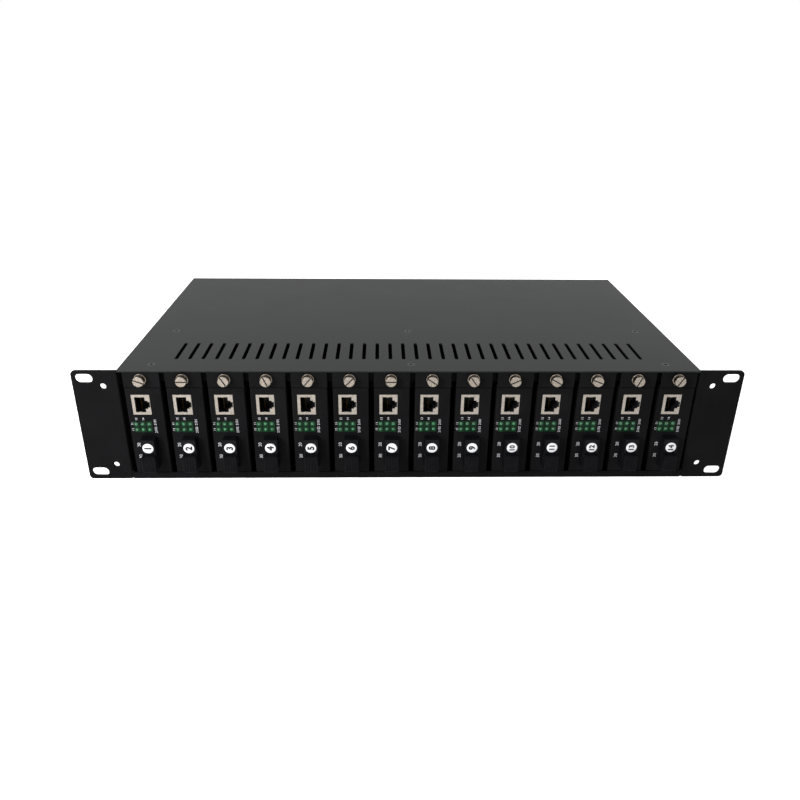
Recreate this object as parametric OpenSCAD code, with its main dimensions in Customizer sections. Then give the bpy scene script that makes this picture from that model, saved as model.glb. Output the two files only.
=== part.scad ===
// Two-unit rack chassis that holds fourteen plug-in media converters.
// X runs across the rack, Y runs from the front to the back, Z is up.
// The origin is the centre of the rack slots, on the face of the ears that seats on the rack.

/* [Panel] */
// Width over both rack ears
panel_w = 482.6; // [480:0.1:486]
// Height of the panel and of the whole chassis
panel_h = 88.1; // [87.4:0.1:89.5]
// Thickness of the rack ears
ear_t = 2; // [1.5:0.1:2.5]
// Radius of the ears' outer corners
ear_corner_r = 3; // [1:0.5:5]
// How far the ears run back along the side walls
ear_return = 44; // [36:1:60]
// Distance between the left and right rack slots
slot_span_x = 465.1; // [462:0.1:468]
// Distance between the lower and upper rack slots
slot_span_z = 76.2; // [74:0.1:77]
// Width of a rack slot
slot_w = 7; // [6:0.1:7.6]
// End to end length of a rack slot
slot_len = 12.5; // [10:0.5:13.5]
// Distance between the left and right handle holes
handle_span_x = 439.8; // [438:0.1:442]
// Distance between the lower and upper handle holes
handle_span_z = 64; // [58:0.5:66]
// Diameter of a handle hole
handle_d = 4.6; // [3:0.1:6]

/* [Body] */
// Depth from the front of the ears to the back of the cover
body_d = 241; // [236:1:270]
// Sheet thickness of the tray, the rails and the rear panel
tray_t = 1.2; // [1:0.1:1.5]
// Sheet thickness of the cover
cover_t = 1; // [0.8:0.1:1.5]
// Height of the folds at the cover's sides and back
cover_fold = 12; // [8:1:14]
// Outer radius of the cover's and the tray's bends
bend_r = 1.2; // [0.6:0.1:1.5]
// Height of the tray's front lip
lip_h = 5.2; // [4:0.1:6]

/* [Vents] */
// Number of vent slots
vents = 36; // [20:1:36]
// Distance between two vent slots
vent_pitch = 9.86; // [8:0.02:10.6]
// Width of a vent slot
vent_w = 2.8; // [2:0.1:4]
// End to end length of a vent slot
vent_len = 33.6; // [24:0.2:36]
// Front end of the vent slots, from the front of the ears
vent_y = 22.5; // [21:0.5:26]

/* [Cover screws] */
// Distance from the middle to the outer cover screws
cover_screw_x = 187.5; // [178:0.5:190]
// Front row of cover screws, from the front of the ears
cover_screw_front = 12.6; // [11:0.1:14]
// Back row of cover screws, from the front of the ears
cover_screw_back = 84; // [82:0.5:86]
// Diameter of the cover screws' heads
flat_head_d = 5.6; // [5:0.1:6]

/* [Bays] */
// Distance between two converters
pitch = 29.73; // [29.6:0.01:29.8]
// Free width left of the first converter
side_gap_left = 2.4; // [2:0.1:2.8]
// Free width right of the last converter
side_gap_right = 0.5; // [0.3:0.1:0.8]
// Height of the guide ribs beside each converter
rib_h = 8; // [5:0.5:10]
// Free space between a converter and a guide rib
rib_gap = 0.5; // [0.3:0.05:0.7]

/* [Converter] */
// Width of a converter
card_w = 26; // [25.8:0.1:26.1]
// Height of a converter's case
card_h = 69; // [68:0.1:69.4]
// Depth of a converter's case
card_d = 94; // [92:0.5:98]
// Sheet thickness of a converter's case
card_t = 1; // [0.8:0.1:1.2]
// Thickness of the top bracket
bracket_t = 1.2; // [1:0.1:1.3]
// Height of the top bracket
bracket_h = 12; // [11:0.1:12.1]
// How far the top bracket runs back
bracket_d = 22; // [18:1:30]
// Thickness of the converter's circuit board
board_t = 1.6; // [1:0.1:2]

/* [Data socket] */
// Width of the socket's shield
jack_w = 13.1; // [12.8:0.1:13.4]
// Height of the socket's shield
jack_h = 15.8; // [15.4:0.1:16.4]
// Depth of the socket's shield
jack_d = 21; // [17:0.5:24]
// Height of the socket's centre above the converter's floor
jack_z = 55.9; // [54:0.1:57]
// Height of the opening
mouth_h = 11.9; // [11.7:0.1:12.2]
// Width of the opening without its latch steps
mouth_w = 7.3; // [6.8:0.1:7.4]
// Depth of the opening
mouth_d = 13; // [11:0.5:14]

/* [Indicators] */
// Diameter of an indicator
led_d = 3; // [2.6:0.1:3.2]
// Distance between two columns of indicators
led_pitch_x = 4.7; // [4.2:0.1:5]
// Distance between two rows of indicators
led_pitch_z = 4.5; // [4.2:0.1:4.8]
// Height of the lower row above the converter's floor
led_z = 35.8; // [35.4:0.1:37]
// How far an indicator stands out
led_proud = 0.9; // [0.4:0.1:1.5]

/* [Optical module] */
// Width of the module
module_w = 10; // [9.6:0.1:10.2]
// Height of the module
module_h = 25; // [24.6:0.1:26]
// Height of the module's lower end above the converter's floor
module_z = 5.3; // [5:0.1:6]
// How far the module stands out
module_proud = 7; // [5:0.5:8]
// Length of the module behind the faceplate
module_d = 24; // [20:1:28]
// Height of the dust cap
cap_h = 12.9; // [12.6:0.1:13.1]
// Length of the dust cap outside the module
cap_proud = 3.4; // [2.5:0.1:5]
// Diameter of the round sticker
sticker_d = 7.8; // [7:0.1:9]

/* [Thumbscrew] */
// Diameter of the head
thumb_head_d = 7.9; // [7:0.1:8.4]
// How far the head stands out
thumb_proud = 5.3; // [4.5:0.1:7]
// Diameter of the thread
thumb_d = 3; // [2.8:0.1:3.2]
// Height of the screw's axis above the case
thumb_z = 6.9; // [6.4:0.1:7.1]
// Sideways place of the screw on its bracket
thumb_x = -0.7; // [-2:0.1:2]

/* [Power] */
// Width of a power supply
supply_w = 97; // [90:1:99]
// Depth of a power supply
supply_d = 99; // [92:1:102]
// Height of a power supply
supply_h = 30; // [28:1:38]
// Size of a fan
fan_w = 50; // [40:1:50]
// Depth of a fan
fan_d = 15; // [12:1:20]
// Distance from the middle to a fan's axis
fan_x = 27; // [26:0.5:27.5]
// Distance from the middle to a mains inlet
inlet_x = 80; // [79:0.5:80.5]
// Tilt of a rocker switch from its middle
rocker_tilt = 8; // [5:1:9]

/* [Hidden] */
$fn = 48;

// Number of converter bays, fixed by the list of nodes above
bays = 14;
// Overrun of every cut
over = 1;
// How deep a shape is sunk into the one it grows from, and how far a screw's tip comes through
bite = 0.5;
// Gap between pieces that seat on each other, play of what slides, and running gap of a shaft
seat = 0.05;
play = 0.2;
run = 0.05;

// The chassis follows the bays: its width is that of the converters and their gaps
inner_w = (bays - 1) * pitch + card_w + side_gap_left + side_gap_right;
tray_w = inner_w + 2 * tray_t;
cover_w = tray_w + 2 * cover_t + 2 * seat;
bay_shift = (side_gap_left - side_gap_right) / 2;
function bay_x(i) = (i - (bays - 1) / 2) * pitch + bay_shift;

y_front = -ear_t;
y_back = y_front + body_d;
y_wall = y_back - cover_t - seat;
y_inside = y_wall - tray_t;
z_bot = -panel_h / 2;
z_top = panel_h / 2;
z_roof = z_top - cover_t;
z_floor = z_bot + tray_t;

// A converter stands just above the lip and slides on the lower guide
card_lift = 0.5;
card_z = z_bot + lip_h + card_lift;
guide_t = 1;
screw_head_t = 1;
bracket_top = card_h + seat + bracket_t;
z_clear = card_z + bracket_top + screw_head_t + card_t;
rib_w = pitch - card_w - 2 * rib_gap;

// Lower guide, from some way behind the lip to the back of the converters
guide_setback = 12;
guide_front = y_front + guide_setback;
guide_back = y_front + card_d - 2 * card_t;
guide_leg = 4;

// The rail stands behind the brackets, and the side walls start behind the ears' faces
rail_setback = 4;
rail_face = y_front + bracket_t + rail_setback;
rail_d = 14.8;
wall_setback = 7;

// Upper guide: its front fold tucks under the front rail, its back fold carries the cover
upper_front = rail_face + rail_d - 2 * guide_t;
upper_fold = 16;
upper_back = y_front + cover_screw_back + upper_fold / 2;
window_w = 18;
window_margin = 6;

// M3 flat screws and press nuts
m3_d = 3;
m3_hole_d = 3.2;
flat_screw_len = 6;
nut_d = 6.4;
nut_h = 2.4;
nut_shank_d = 5;
cross_w = 0.9;
cross_share = 0.6;

// Screws of the ears and of the rear panel: three heights on each side
ear_screw_d = 4;
ear_screw_head_d = 7.6;
ear_screw_y = 22;
ear_return_foot = 6;
side_screw_shares = [-0.3, 0, 0.24];
panel_fold = 12;

// Power jack of a converter and plug of the backplane
dc_z = 22;
dc_body = 9;
dc_body_d = 14;
dc_nose_d = 8.2;
dc_bore_d = 6.3;
dc_bore_deep = 11;
dc_pin_d = 2;
plug_d = 5.5;
plug_bore_d = 2.5;
plug_reach = 8;
plug_gap = 0.5;
plug_block = 9;
plug_block_d = 8;
backplane_t = 1.6;
backplane_h = 42;
backplane_margin = 3;
backplane_foot = 4;
backplane_y = y_front + card_d + plug_gap + plug_block_d;
post_w = 14;
post_foot = 12;
post_shares = [-0.43, -0.15, 0.15, 0.43];

// Inside a converter, from the left edge, the front face and the floor of its case
board_x = 5.1;
jack_x = -2.5;
jack_wall = 0.4;
jack_left = 2.2;
insert_wall = 0.4;
step_w = 1.8;
step_h = 6.4;
notch_w = 1.5;
notch_h = 4.2;
led_x = 1.2;
led_len = 6;
led_holder_d = 6;
led_holder_margin = 2;
post_d = 5;
board_margin = 4;
board_back = 6;
bracket_screw_share = 0.6;

// The module's lower half is a plug socket with a ferrule sleeve
port_w = 7.4;
port_h = 9;
port_d = 11;
port_wall = 1.9;
port_z = module_z + port_wall + port_h / 2;
sleeve_d = 3.2;
sleeve_bore_d = 2.5;
sleeve_len = 7;
cap_wall = 1.4;
cap_reach = 8;
cap_grooves = 4;
cap_groove_w = 0.7;
cap_groove_d = 0.4;
// Height of the sticker's centre above the module's lower end
sticker_z = 18.5;
sticker_t = 0.15;

// Thumbscrew and the ferrule that holds it in its bracket
ferrule_d = 8.6;
ferrule_t = 1.1;
ferrule_sleeve_d = 5.6;
thumb_neck_d = 4;
thumb_len = 10;
thumb_gap = 0.4;
thumb_slot_w = 0.9;
thumb_slot_deep = 1.2;
thumb_chamfer = 0.5;
// How far each screw happens to be turned, from left to right
thumb_turns = [20, 0, 60, 65, -50, -45, 0, 35, 55, -25, 30, 20, -65, -60];

// Fans
fan_wall = 1.4;
fan_hole_span_share = 0.8;
fan_hole_d = 4.3;
fan_hub_share = 0.44;
fan_blades = 7;
fan_blade_t = 1.2;
fan_blade_pitch = 35;
fan_tip_gap = 0.8;
fan_hub_gap = 0.4;
fan_spokes = 3;
fan_spoke_w = 2.4;
fan_spoke_t = 2;
// The motor plate lies a little inside the frame's front face
fan_plate_y = -fan_d + bite;
fan_shaft_d = 3;
fan_plate_t = 2.5;
grille_rows = 5;
grille_slot_w = 4;
grille_pitch = 8;
fan_z = z_bot + panel_h / 2;

// Mains inlets, each in one housing with its rocker switch
inlet_w = 50;
inlet_h = 28;
inlet_t = 2.5;
inlet_body_w = 46;
inlet_body_h = 24;
inlet_body_d = 22;
recess_x = -9;
recess_w = 24.6;
recess_h = 16.4;
recess_d = 17;
recess_chamfer = 5;
blade_w = 2;
blade_h = 4;
blade_len = 14;
blade_x = 7;
blade_z = -2;
earth_z = 4;
switch_x = 15;
rocker_w = 12;
rocker_h = 19.2;
rocker_end = 2.6;
rocker_dip = 0.6;
rocker_deep = 6;
rocker_axis = 4;
rocker_pin_d = 2;
rocker_pin_len = 1.2;
switch_gap = 0.3;
switch_h = 22.4;
switch_d = 12;

// Power supplies and their terminal blocks
supply_t = 1;
supply_gap = 3;
supply_back = 3;
terminal_w = 60;
terminal_h = 13;
terminal_d = 9;
supply_slots = 9;
supply_slot_w = 3;
supply_slot_share = 0.6;
supply_y = y_inside - supply_back - supply_d;
supply_x = inner_w / 2 - supply_gap - supply_w / 2;

// Wires
wire_d = 2.4;
wire_bend_r = 6;
wire_pitch = 6;
dc_wire_z = 9;

// A box from its lowest to its highest corner
module block(low, high) {
    translate(low) cube(high - low);
}

// A cylinder along Y from y0 to y1
module rod_y(d, y0, y1) {
    translate([0, y0, 0]) rotate([-90, 0, 0]) cylinder(d = d, h = y1 - y0);
}

// A cylinder along X from x0 to x1
module rod_x(d, x0, x1) {
    translate([x0, 0, 0]) rotate([0, 90, 0]) cylinder(d = d, h = x1 - x0);
}

// Draws on the right as modelled, or mirrored onto the left
module on_side(side) {
    if (side < 0) mirror([1, 0, 0]) children();
    else children();
}

// What rounds off the corner at the origin of the first quadrant
module corner_cut(r) {
    difference() {
        translate([-over, -over]) square(r + over);
        translate([r, r]) circle(r);
    }
}

// Outline of a slot with round ends, along X
module slot_outline(len, w) {
    square([len - w, w], center = true);
    for (side = [-1, 1]) translate([side * (len - w) / 2, 0]) circle(d = w);
}

// A cut along Y through a sheet between y0 and y1, with the outline in X and Z
module cut_y(y0, y1) {
    translate([0, y1 + over, 0]) rotate([90, 0, 0]) linear_extrude(y1 - y0 + 2 * over) children();
}

// Flat-headed screw with a cross recess, its head's top at the origin, pointing down
module flat_screw(d, head_d, head_t, len) {
    difference() {
        union() {
            translate([0, 0, -head_t]) cylinder(d1 = d, d2 = head_d, h = head_t);
            translate([0, 0, -len]) cylinder(d = d, h = len - head_t / 2);
        }
        for (turn = [0, 90]) rotate(turn)
            translate([0, 0, over / 2 - head_t * cross_share])
                cube([head_d * cross_share, cross_w * d / m3_d, over], center = true);
    }
}

// The hole that a flat screw needs
module flat_hole(d, head_d, head_t, len) {
    translate([0, 0, -head_t]) cylinder(d1 = d + play, d2 = head_d + play, h = head_t);
    translate([0, 0, -seat]) cylinder(d = head_d + play, h = over);
    translate([0, 0, -len - over]) cylinder(d = d + play, h = len + over);
}

// Where the six cover screws go
module at_cover_screws() {
    for (x = [-cover_screw_x, 0, cover_screw_x])
        for (y = [cover_screw_front, cover_screw_back])
            translate([x, y_front + y, z_top]) children();
}

module cover_hole() {
    flat_hole(m3_d, flat_head_d, cover_t, flat_screw_len);
}

// Where the ears' screws go, on both sides or on one; the head's top is outside
module at_ear_screws(sides) {
    for (side = sides)
        for (share = side_screw_shares)
            translate([side * (tray_w / 2 + ear_t), ear_screw_y, share * panel_h])
                rotate([0, side * 90, 0]) children();
}

module ear_hole() {
    flat_hole(ear_screw_d, ear_screw_head_d, ear_t, ear_t + tray_t);
}

// Where the rear panel's side screws go; the head's top is outside
module at_panel_screws() {
    for (side = [-1, 1])
        for (share = side_screw_shares)
            translate([side * tray_w / 2, y_inside - panel_fold / 2, share * panel_h])
                rotate([0, side * 90, 0]) children();
}

module panel_hole() {
    flat_hole(m3_d, flat_head_d, tray_t, 2 * tray_t);
}

// Tray: floor, side walls, front lip and the posts that hold the backplane
module base_tray() {
    color("#2b2c2e") difference() {
        union() {
            difference() {
                translate([0, y_wall, 0]) rotate([90, 0, 0]) linear_extrude(y_wall - y_front)
                    difference() {
                        translate([-tray_w / 2, z_bot]) square([tray_w, z_roof - z_bot]);
                        for (side = [-1, 1]) on_side(side)
                            translate([-tray_w / 2, z_bot]) corner_cut(bend_r);
                    }
                block([-inner_w / 2, y_front - over, z_floor],
                      [inner_w / 2, y_wall + over, z_roof + over]);
                block([-tray_w, y_front - over, z_bot + ear_return_foot + bite],
                      [tray_w, y_front + wall_setback, z_roof + over]);
            }
            block([-inner_w / 2, y_front, z_floor], [inner_w / 2, y_front + tray_t, z_bot + lip_h]);
            for (share = post_shares) translate([share * inner_w, backplane_y + backplane_t + seat, 0]) {
                block([-post_w / 2, 0, z_floor], [post_w / 2, tray_t, z_floor + backplane_h / 2]);
                block([-post_w / 2, 0, z_floor], [post_w / 2, post_foot, z_floor + tray_t]);
            }
        }
        at_ear_screws([-1, 1]) ear_hole();
        at_panel_screws() panel_hole();
    }
}

// Cover: one folded sheet with a row of vent slots and six screw holes
module top_cover() {
    color("#4a4b4d") difference() {
        union() {
            intersection() {
                translate([0, y_back, 0]) rotate([90, 0, 0]) linear_extrude(body_d - ear_t - play)
                    difference() {
                        translate([-cover_w / 2, z_top - cover_fold]) square([cover_w, cover_fold]);
                        for (side = [-1, 1]) on_side(side)
                            translate([-cover_w / 2, z_top]) mirror([0, 1]) corner_cut(bend_r);
                    }
                translate([-cover_w / 2 - over, 0, 0]) rotate([90, 0, 90])
                    linear_extrude(cover_w + 2 * over) difference() {
                        translate([y_front, z_top - cover_fold]) square([body_d, cover_fold]);
                        translate([y_back, z_top]) rotate(180) corner_cut(bend_r);
                    }
            }
            block([-tray_w / 2 + seat, y_front, z_roof], [tray_w / 2 - seat, ear_t, z_top]);
        }
        block([-tray_w / 2 - seat, y_front - over, z_top - cover_fold - over],
              [tray_w / 2 + seat, y_back - cover_t, z_roof]);
        at_cover_screws() cover_hole();
        for (i = [0 : vents - 1])
            translate([(i - (vents - 1) / 2) * vent_pitch, y_front + vent_y + vent_len / 2, z_roof - over])
                rotate(90) linear_extrude(cover_t + 2 * over) slot_outline(vent_len, vent_w);
    }
}

module cover_screws() {
    color("#5a5b5d") at_cover_screws() flat_screw(m3_d, flat_head_d, cover_t, flat_screw_len);
}

// Rack ear: an L of thick sheet, slotted for the rack, drilled for a handle
module rack_ear(side) {
    ear_w = (panel_w - tray_w) / 2;
    color("#26272a") difference() {
        on_side(side) difference() {
            translate([0, 0, z_bot]) linear_extrude(panel_h) difference() {
                union() {
                    translate([tray_w / 2 + seat, y_front]) square([ear_w - seat, ear_t]);
                    translate([tray_w / 2 + seat, y_front]) square([ear_t - seat, ear_return + ear_t]);
                }
                translate([tray_w / 2 + seat, y_front]) corner_cut(bend_r);
            }
            block([0, seat, z_top - cover_fold - play], [panel_w, ear_return + over, z_top + over]);
            block([0, seat, z_bot - over], [panel_w, ear_return + over, z_bot + ear_return_foot]);
            cut_y(y_front, 0) {
                translate([panel_w / 2, z_top]) rotate(180) corner_cut(ear_corner_r);
                translate([panel_w / 2, z_bot]) rotate(90) corner_cut(ear_corner_r);
                translate([tray_w / 2 + seat, z_bot]) corner_cut(ear_corner_r / 2);
                for (up = [-1, 1]) {
                    translate([slot_span_x / 2, up * slot_span_z / 2]) slot_outline(slot_len, slot_w);
                    translate([handle_span_x / 2, up * handle_span_z / 2]) circle(d = handle_d);
                }
            }
        }
        at_ear_screws([side]) ear_hole();
    }
}

// Six ear screws and six screws at the sides of the rear panel
module panel_screws() {
    color("#5a5b5d") {
        at_ear_screws([-1, 1]) flat_screw(ear_screw_d, ear_screw_head_d, ear_t, ear_t + tray_t);
        at_panel_screws() flat_screw(m3_d, flat_head_d, tray_t, 2 * tray_t);
    }
}

// Where the thumbscrews' axes cross the front face
module at_thumbs() {
    for (i = [0 : bays - 1]) translate([bay_x(i) + thumb_x, y_front, card_z + card_h + thumb_z]) children();
}

// Channel under the cover's front edge, which takes the thumbscrews
module front_rail() {
    rail_w = inner_w - 2 * seat;
    color("#232426") difference() {
        union() {
            block([-rail_w / 2, rail_face, z_clear], [rail_w / 2, rail_face + tray_t, z_roof - seat]);
            block([-rail_w / 2, rail_face, z_roof - tray_t - seat],
                  [rail_w / 2, rail_face + rail_d, z_roof - seat]);
            for (side = [-1, 1]) on_side(side)
                block([rail_w / 2 - tray_t, rail_face, z_clear],
                      [rail_w / 2, rail_face + rail_d - 3 * guide_t, z_roof - seat]);
        }
        at_thumbs() rod_y(nut_shank_d + 2 * run, 0, rail_d / 2);
        at_cover_screws() translate([0, 0, -cover_t - nut_h]) cylinder(d = nut_shank_d + 2 * run, h = nut_h);
    }
}

// Press nut along +Y: a shank that fills the sheet's hole, and a body behind the sheet
module press_nut(d) {
    difference() {
        union() {
            rod_y(nut_shank_d, 0, tray_t + seat);
            rod_y(nut_d, tray_t + seat, tray_t + nut_h);
        }
        rod_y(d + 2 * run, -over, tray_t + nut_h + over);
    }
}

// Fourteen nuts for the thumbscrews and six for the cover screws
module press_nuts() {
    color("#b9b6ac") {
        at_thumbs() translate([0, rail_face - y_front, 0]) press_nut(thumb_d);
        at_cover_screws() translate([0, 0, -cover_t - seat]) rotate([-90, 0, 0]) press_nut(m3_d);
    }
}

// Ribs between the converters, kept inside the side walls
module ribs(y0, y1, z0, z1) {
    for (i = [0 : bays - 1]) {
        left = max(bay_x(i) - pitch / 2 - rib_w / 2, -inner_w / 2 + play);
        block([left, y0, z0], [bay_x(i) - pitch / 2 + rib_w / 2, y1, z1]);
    }
}

// Floor that the converters slide on, on two folded legs, with a rib beside each
module lower_guide() {
    guide_top = card_z - play;
    half_w = inner_w / 2 - play;
    color("#2a2b2d") {
        block([-half_w, guide_front, guide_top - guide_t], [half_w, guide_back, guide_top]);
        for (y = [guide_front + guide_leg, guide_back - guide_t])
            block([-half_w, y, z_floor + seat], [half_w, y + guide_t, guide_top]);
        ribs(guide_front + guide_leg, guide_back, guide_top - guide_t, card_z + rib_h);
    }
}

// Plate above the converters with a window over each, hung from the rail and the cover
module upper_guide() {
    half_w = inner_w / 2 - play;
    color("#2a2b2d") difference() {
        union() {
            block([-half_w, upper_front, z_clear], [half_w, upper_back, z_clear + guide_t]);
            block([-half_w, upper_front, z_clear], [half_w, upper_front + guide_t, z_roof - tray_t - 2 * seat]);
            block([-half_w, upper_back - guide_t, z_clear], [half_w, upper_back, z_roof - seat]);
            block([-half_w, upper_back - upper_fold, z_roof - tray_t - seat],
                  [half_w, upper_back, z_roof - seat]);
            ribs(upper_front, upper_back, card_z + card_h - rib_h, z_clear + guide_t);
        }
        for (i = [0 : bays - 1]) translate([bay_x(i), 0, 0])
            block([-window_w / 2, upper_front + window_margin, z_clear - over],
                  [window_w / 2, upper_back - upper_fold - window_margin, z_clear + guide_t + over]);
        at_cover_screws() translate([0, 0, -cover_t - nut_h]) cylinder(d = nut_shank_d + 2 * run, h = nut_h);
    }
}

// Backplane: one long board with a terminal block for each supply
module backplane_board() {
    color("#1f5a36") {
        block([-inner_w / 2 + backplane_margin, backplane_y, z_floor + backplane_foot],
              [inner_w / 2 - backplane_margin, backplane_y + backplane_t, z_floor + backplane_foot + backplane_h]);
        for (side = [-1, 1]) translate([side * supply_x, backplane_y + backplane_t, z_floor + dc_wire_z])
            block([-terminal_w / 4, 0, -terminal_h / 3], [terminal_w / 4, terminal_d, terminal_h / 3]);
    }
}

// One power plug for each converter
module backplane_plugs() {
    color("#17181a") for (i = [0 : bays - 1]) translate([bay_x(i), backplane_y - seat, card_z + dc_z])
        difference() {
            union() {
                block([-plug_block / 2, -plug_block_d, -plug_block / 2], [plug_block / 2, 0, plug_block / 2]);
                rod_y(plug_d, -plug_block_d - plug_gap - plug_reach, 0);
            }
            rod_y(plug_bore_d, -plug_block_d - plug_gap - plug_reach - over, -plug_block_d);
        }
}

// Rear panel: a flat sheet with side folds, fan grilles, supply vents and inlet cut-outs
module rear_panel() {
    half_w = inner_w / 2 - seat;
    color("#2b2c2e") difference() {
        union() {
            block([-half_w, y_inside, z_floor + seat], [half_w, y_wall, z_roof - seat]);
            for (side = [-1, 1]) on_side(side)
                block([half_w - tray_t, y_inside - panel_fold, z_floor + seat], [half_w, y_wall, z_roof - seat]);
        }
        at_panel_screws() panel_hole();
        cut_y(y_inside, y_wall) for (side = [-1, 1]) {
            translate([side * fan_x, fan_z]) {
                for (row = [0 : grille_rows - 1]) {
                    rise = (row - (grille_rows - 1) / 2) * grille_pitch;
                    reach = sqrt(pow(fan_w / 2 - fan_wall - grille_slot_w, 2) - rise * rise);
                    translate([0, rise]) slot_outline(2 * reach, grille_slot_w);
                }
                for (dx = [-1, 1]) for (dz = [-1, 1])
                    translate([dx, dz] * fan_w * fan_hole_span_share / 2) circle(d = m3_hole_d);
            }
            translate([side * inlet_x, fan_z])
                square([inlet_body_w + 2 * play, inlet_body_h + 2 * play], center = true);
            for (i = [0 : supply_slots - 1])
                translate([side * supply_x + (i - (supply_slots - 1) / 2) * supply_w / supply_slots,
                           z_floor + supply_h / 2])
                    rotate(90) slot_outline(supply_h * supply_slot_share, supply_slot_w);
        }
    }
}

// Power supply: a slotted case, open above its terminal block, with its board and one component
module power_supply(side) {
    translate([side * supply_x, supply_y, z_floor + seat]) {
        color("#9a9b9c") difference() {
            block([-supply_w / 2, 0, 0], [supply_w / 2, supply_d, supply_h]);
            block([-supply_w / 2 + supply_t, -over, supply_t],
                  [supply_w / 2 - supply_t, supply_d + over, supply_h - supply_t]);
            block([-supply_w / 2 + supply_t, -over, supply_t],
                  [supply_w / 2 - supply_t, terminal_d + wire_d, supply_h + over]);
            for (i = [0 : supply_slots - 1])
                translate([(i - (supply_slots - 1) / 2) * supply_w / supply_slots, supply_d / 2,
                           supply_h - supply_t - over])
                    rotate(90) linear_extrude(supply_t + 2 * over) slot_outline(supply_d / 2, supply_slot_w);
        }
        color("#2c6e49") block([-supply_w / 2 + supply_t + seat, 0, supply_t + seat],
                               [supply_w / 2 - supply_t - seat, supply_d, supply_t + seat + backplane_t]);
        color("#1b1c1e") translate([0, 0, supply_t + 2 * seat + backplane_t])
            block([-terminal_w / 2, 0, 0], [terminal_w / 2, terminal_d, terminal_h]);
        color("#c8b34a") translate([0, supply_d / 2, supply_t + 2 * seat + backplane_t])
            block([-supply_w / 5, -supply_d / 6, 0], [supply_w / 5, supply_d / 6, supply_h / 2]);
    }
}

// Outline of a mains socket's recess: a box with its two upper corners cut
module recess_outline() {
    polygon([[-recess_w / 2, -recess_h / 2], [recess_w / 2, -recess_h / 2],
             [recess_w / 2, recess_h / 2 - recess_chamfer], [recess_w / 2 - recess_chamfer, recess_h / 2],
             [-recess_w / 2 + recess_chamfer, recess_h / 2], [-recess_w / 2, recess_h / 2 - recess_chamfer]]);
}

// Two housings in the rear panel, each a three-blade mains socket beside a switch opening
module power_inlets() {
    face = y_wall + seat + inlet_t;
    for (side = [-1, 1]) translate([side * inlet_x, 0, fan_z]) {
        color("#1a1b1d") difference() {
            union() {
                block([-inlet_w / 2, y_wall + seat, -inlet_h / 2], [inlet_w / 2, face, inlet_h / 2]);
                block([-inlet_body_w / 2, y_inside - inlet_body_d, -inlet_body_h / 2],
                      [inlet_body_w / 2, face, inlet_body_h / 2]);
            }
            translate([recess_x, face + over, 0]) rotate([90, 0, 0]) linear_extrude(recess_d + over)
                recess_outline();
            block([switch_x - rocker_w / 2 - switch_gap, face - switch_d, -switch_h / 2],
                  [switch_x + rocker_w / 2 + switch_gap, face + over, switch_h / 2]);
            translate([switch_x, face - rocker_axis, 0])
                rod_x(rocker_pin_d + 2 * run, -rocker_w / 2 - rocker_pin_len - switch_gap,
                      rocker_w / 2 + rocker_pin_len + switch_gap);
        }
        color("#c9c4b8") translate([recess_x, face - recess_d + seat, 0])
            for (p = [[-blade_x, blade_z], [blade_x, blade_z], [0, earth_z]])
                translate([p[0] - blade_w / 2, 0, p[1] - blade_h / 2]) cube([blade_w, blade_len, blade_h]);
    }
}

// Rocker of a switch: a shallow V on a pin, resting with its upper end pressed in
module rocker(side) {
    face = y_wall + seat + inlet_t;
    color("#111214") translate([side * inlet_x + switch_x, face - rocker_axis, fan_z])
        rotate([-rocker_tilt, 0, 0]) {
            translate([-rocker_w / 2, 0, 0]) rotate([90, 0, 90]) linear_extrude(rocker_w)
                polygon([[rocker_axis + rocker_end, -rocker_h / 2], [rocker_axis + rocker_dip, 0],
                         [rocker_axis + rocker_end, rocker_h / 2], [0, rocker_h / 2 - rocker_end],
                         [rocker_axis - rocker_deep, 0], [0, rocker_end - rocker_h / 2]]);
            rod_x(rocker_pin_d, -rocker_w / 2 - rocker_pin_len, rocker_w / 2 + rocker_pin_len);
        }
}

// Two square fan frames with a spoked motor plate at the front of each
module fan_frames() {
    color("#1a1b1d") for (side = [-1, 1]) translate([side * fan_x, y_inside - seat, fan_z]) difference() {
        union() {
            difference() {
                block([-fan_w / 2, -fan_d, -fan_w / 2], [fan_w / 2, 0, fan_w / 2]);
                rod_y(fan_w - 2 * fan_wall, -fan_d - over, over);
            }
            rod_y(fan_w * fan_hub_share, fan_plate_y, fan_plate_y + fan_spoke_t);
            for (k = [0 : fan_spokes - 1]) rotate([0, k * 360 / fan_spokes, 0])
                block([fan_w * fan_hub_share / 4, fan_plate_y, -fan_spoke_w / 2],
                      [(fan_w - fan_wall) / 2, fan_plate_y + fan_spoke_t, fan_spoke_w / 2]);
            rod_y(fan_shaft_d, fan_plate_y + fan_spoke_t / 2, -fan_plate_t);
        }
        for (dx = [-1, 1]) for (dz = [-1, 1])
            translate([dx, 0, dz] * fan_w * fan_hole_span_share / 2) rod_y(fan_hole_d, -fan_d - over, over);
    }
}

// Rotor: a cup on a shaft with pitched blades
module fan_rotor(side) {
    back = -fan_plate_t / 2;
    front = fan_plate_y + fan_spoke_t + fan_hub_gap;
    hub_r = fan_w * fan_hub_share / 2;
    tip_r = fan_w / 2 - fan_wall - fan_tip_gap;
    mid = (front + back) / 2;
    color("#1f2022") translate([side * fan_x, y_inside - seat, fan_z]) difference() {
        union() {
            rod_y(2 * hub_r, front, back);
            intersection() {
                rod_y(2 * tip_r, front, back);
                for (k = [0 : fan_blades - 1]) rotate([0, k * 360 / fan_blades, 0])
                    translate([0, mid, 0]) rotate([fan_blade_pitch, 0, 0])
                        block([hub_r / 2, -fan_d, -fan_blade_t / 2], [fan_w / 2, fan_d, fan_blade_t / 2]);
            }
        }
        rod_y(fan_shaft_d + 2 * run, front - over, back + over);
    }
}

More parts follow.
